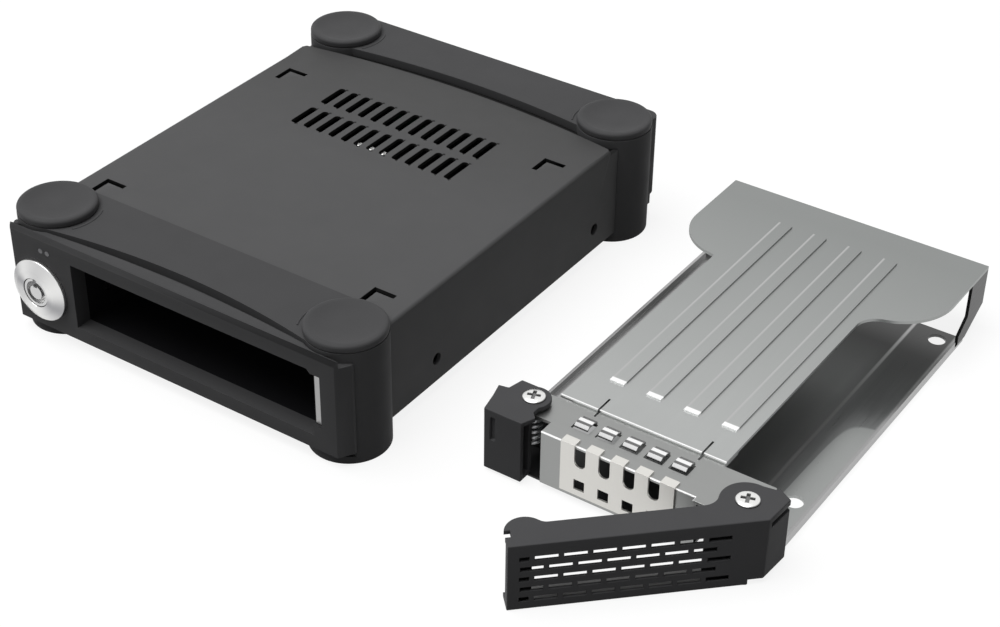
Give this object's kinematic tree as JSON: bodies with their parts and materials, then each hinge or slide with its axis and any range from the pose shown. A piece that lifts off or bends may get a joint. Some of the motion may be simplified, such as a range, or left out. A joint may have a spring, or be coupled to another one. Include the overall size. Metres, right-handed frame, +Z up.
{
  "type": "hot swap drive cage",
  "caption": "Rugged external cage with rubber bumpers, a key lock and a bay for a slim drive, standing beside its metal drive tray with a slotted ejector lever.",
  "frame": {"origin": "middle of the chassis's underside, on the floor pan", "axes": "+X across the cage to the tray's side, +Y from the bezel to the rear, +Z up"},
  "size_m": [0.2034, 0.1572, 0.0331],
  "materials": {
    "cover_paint": "matt powder coat",
    "bezel_plastic": "fine matt texture",
    "rubber": "matt moulded rubber",
    "lock_chrome": "polished",
    "zinc_steel": "zinc plated",
    "cradle_steel": "black oxide",
    "tray_steel": "satin",
    "spring_steel": "bright",
    "lever_plastic": "fine matt texture",
    "board_green": "solder mask",
    "connector_black": "moulded",
    "lens": "clear moulded"
  },
  "bodies": {
    "cage": {"backplane_board": "board_green", "base_pan": "cover_paint", "bay_cradle": "cradle_steel", "board_link": "connector_black", "board_screws": "zinc_steel", "drive_socket": "connector_black", "front_bezel": "bezel_plastic", "front_bumper": "rubber", "lock_barrel": "lock_chrome", "lock_nut": "zinc_steel", "main_board": "board_green", "power_jack": "connector_black", "rear_bumper": "rubber", "rear_panel": "cover_paint", "status_lights": "lens", "strike_strip": "spring_steel", "switch_frame": "connector_black", "top_cover": "cover_paint", "top_pad_front_left": "rubber", "top_pad_front_right": "rubber", "top_pad_rear_left": "rubber", "top_pad_rear_right": "rubber", "usb_port": "zinc_steel"},
    "lock_core": {"lock_plug": "lock_chrome", "lock_cam": "zinc_steel", "cam_screw": "zinc_steel"},
    "rocker": {"switch_rocker": "connector_black"},
    "tray": {"contact_fingers": "spring_steel", "latch_screw": "spring_steel", "lever_screw": "spring_steel", "light_pipe": "lens", "tray_base": "tray_steel", "tray_bracket": "tray_steel", "tray_top": "tray_steel", "vent_grille": "spring_steel"},
    "lever": {"lever": "lever_plastic"},
    "latch": {"latch_block": "lever_plastic"}
  },
  "joints": [
    {"name": "tray_slide", "type": "slide", "parent": "cage", "child": "tray", "axis": [0, -1, 0], "range_m": [0, 0.14]},
    {"name": "lever_swing", "type": "hinge", "parent": "tray", "child": "lever", "pos_m": [0.1412, -0.0437, 0.0148], "axis": [0, 0, 1], "range_deg": [-43.9, 41.1]},
    {"name": "latch_turn", "type": "hinge", "parent": "tray", "child": "latch", "pos_m": [0.084, -0.0396, 0.0148], "axis": [0, 0, 1], "range_deg": [-8, 0], "stiffness_Nm_per_rad": 0.02},
    {"name": "lock_turn", "type": "hinge", "parent": "cage", "child": "lock_core", "pos_m": [-0.0415, -0.0689, 0.0116], "axis": [0, 1, 0], "range_deg": [0, 90]},
    {"name": "switch_rock", "type": "hinge", "parent": "cage", "child": "rocker", "pos_m": [-0.0406, 0.0677, 0.0197], "axis": [1, 0, 0], "range_deg": [0, 12]}
  ]
}
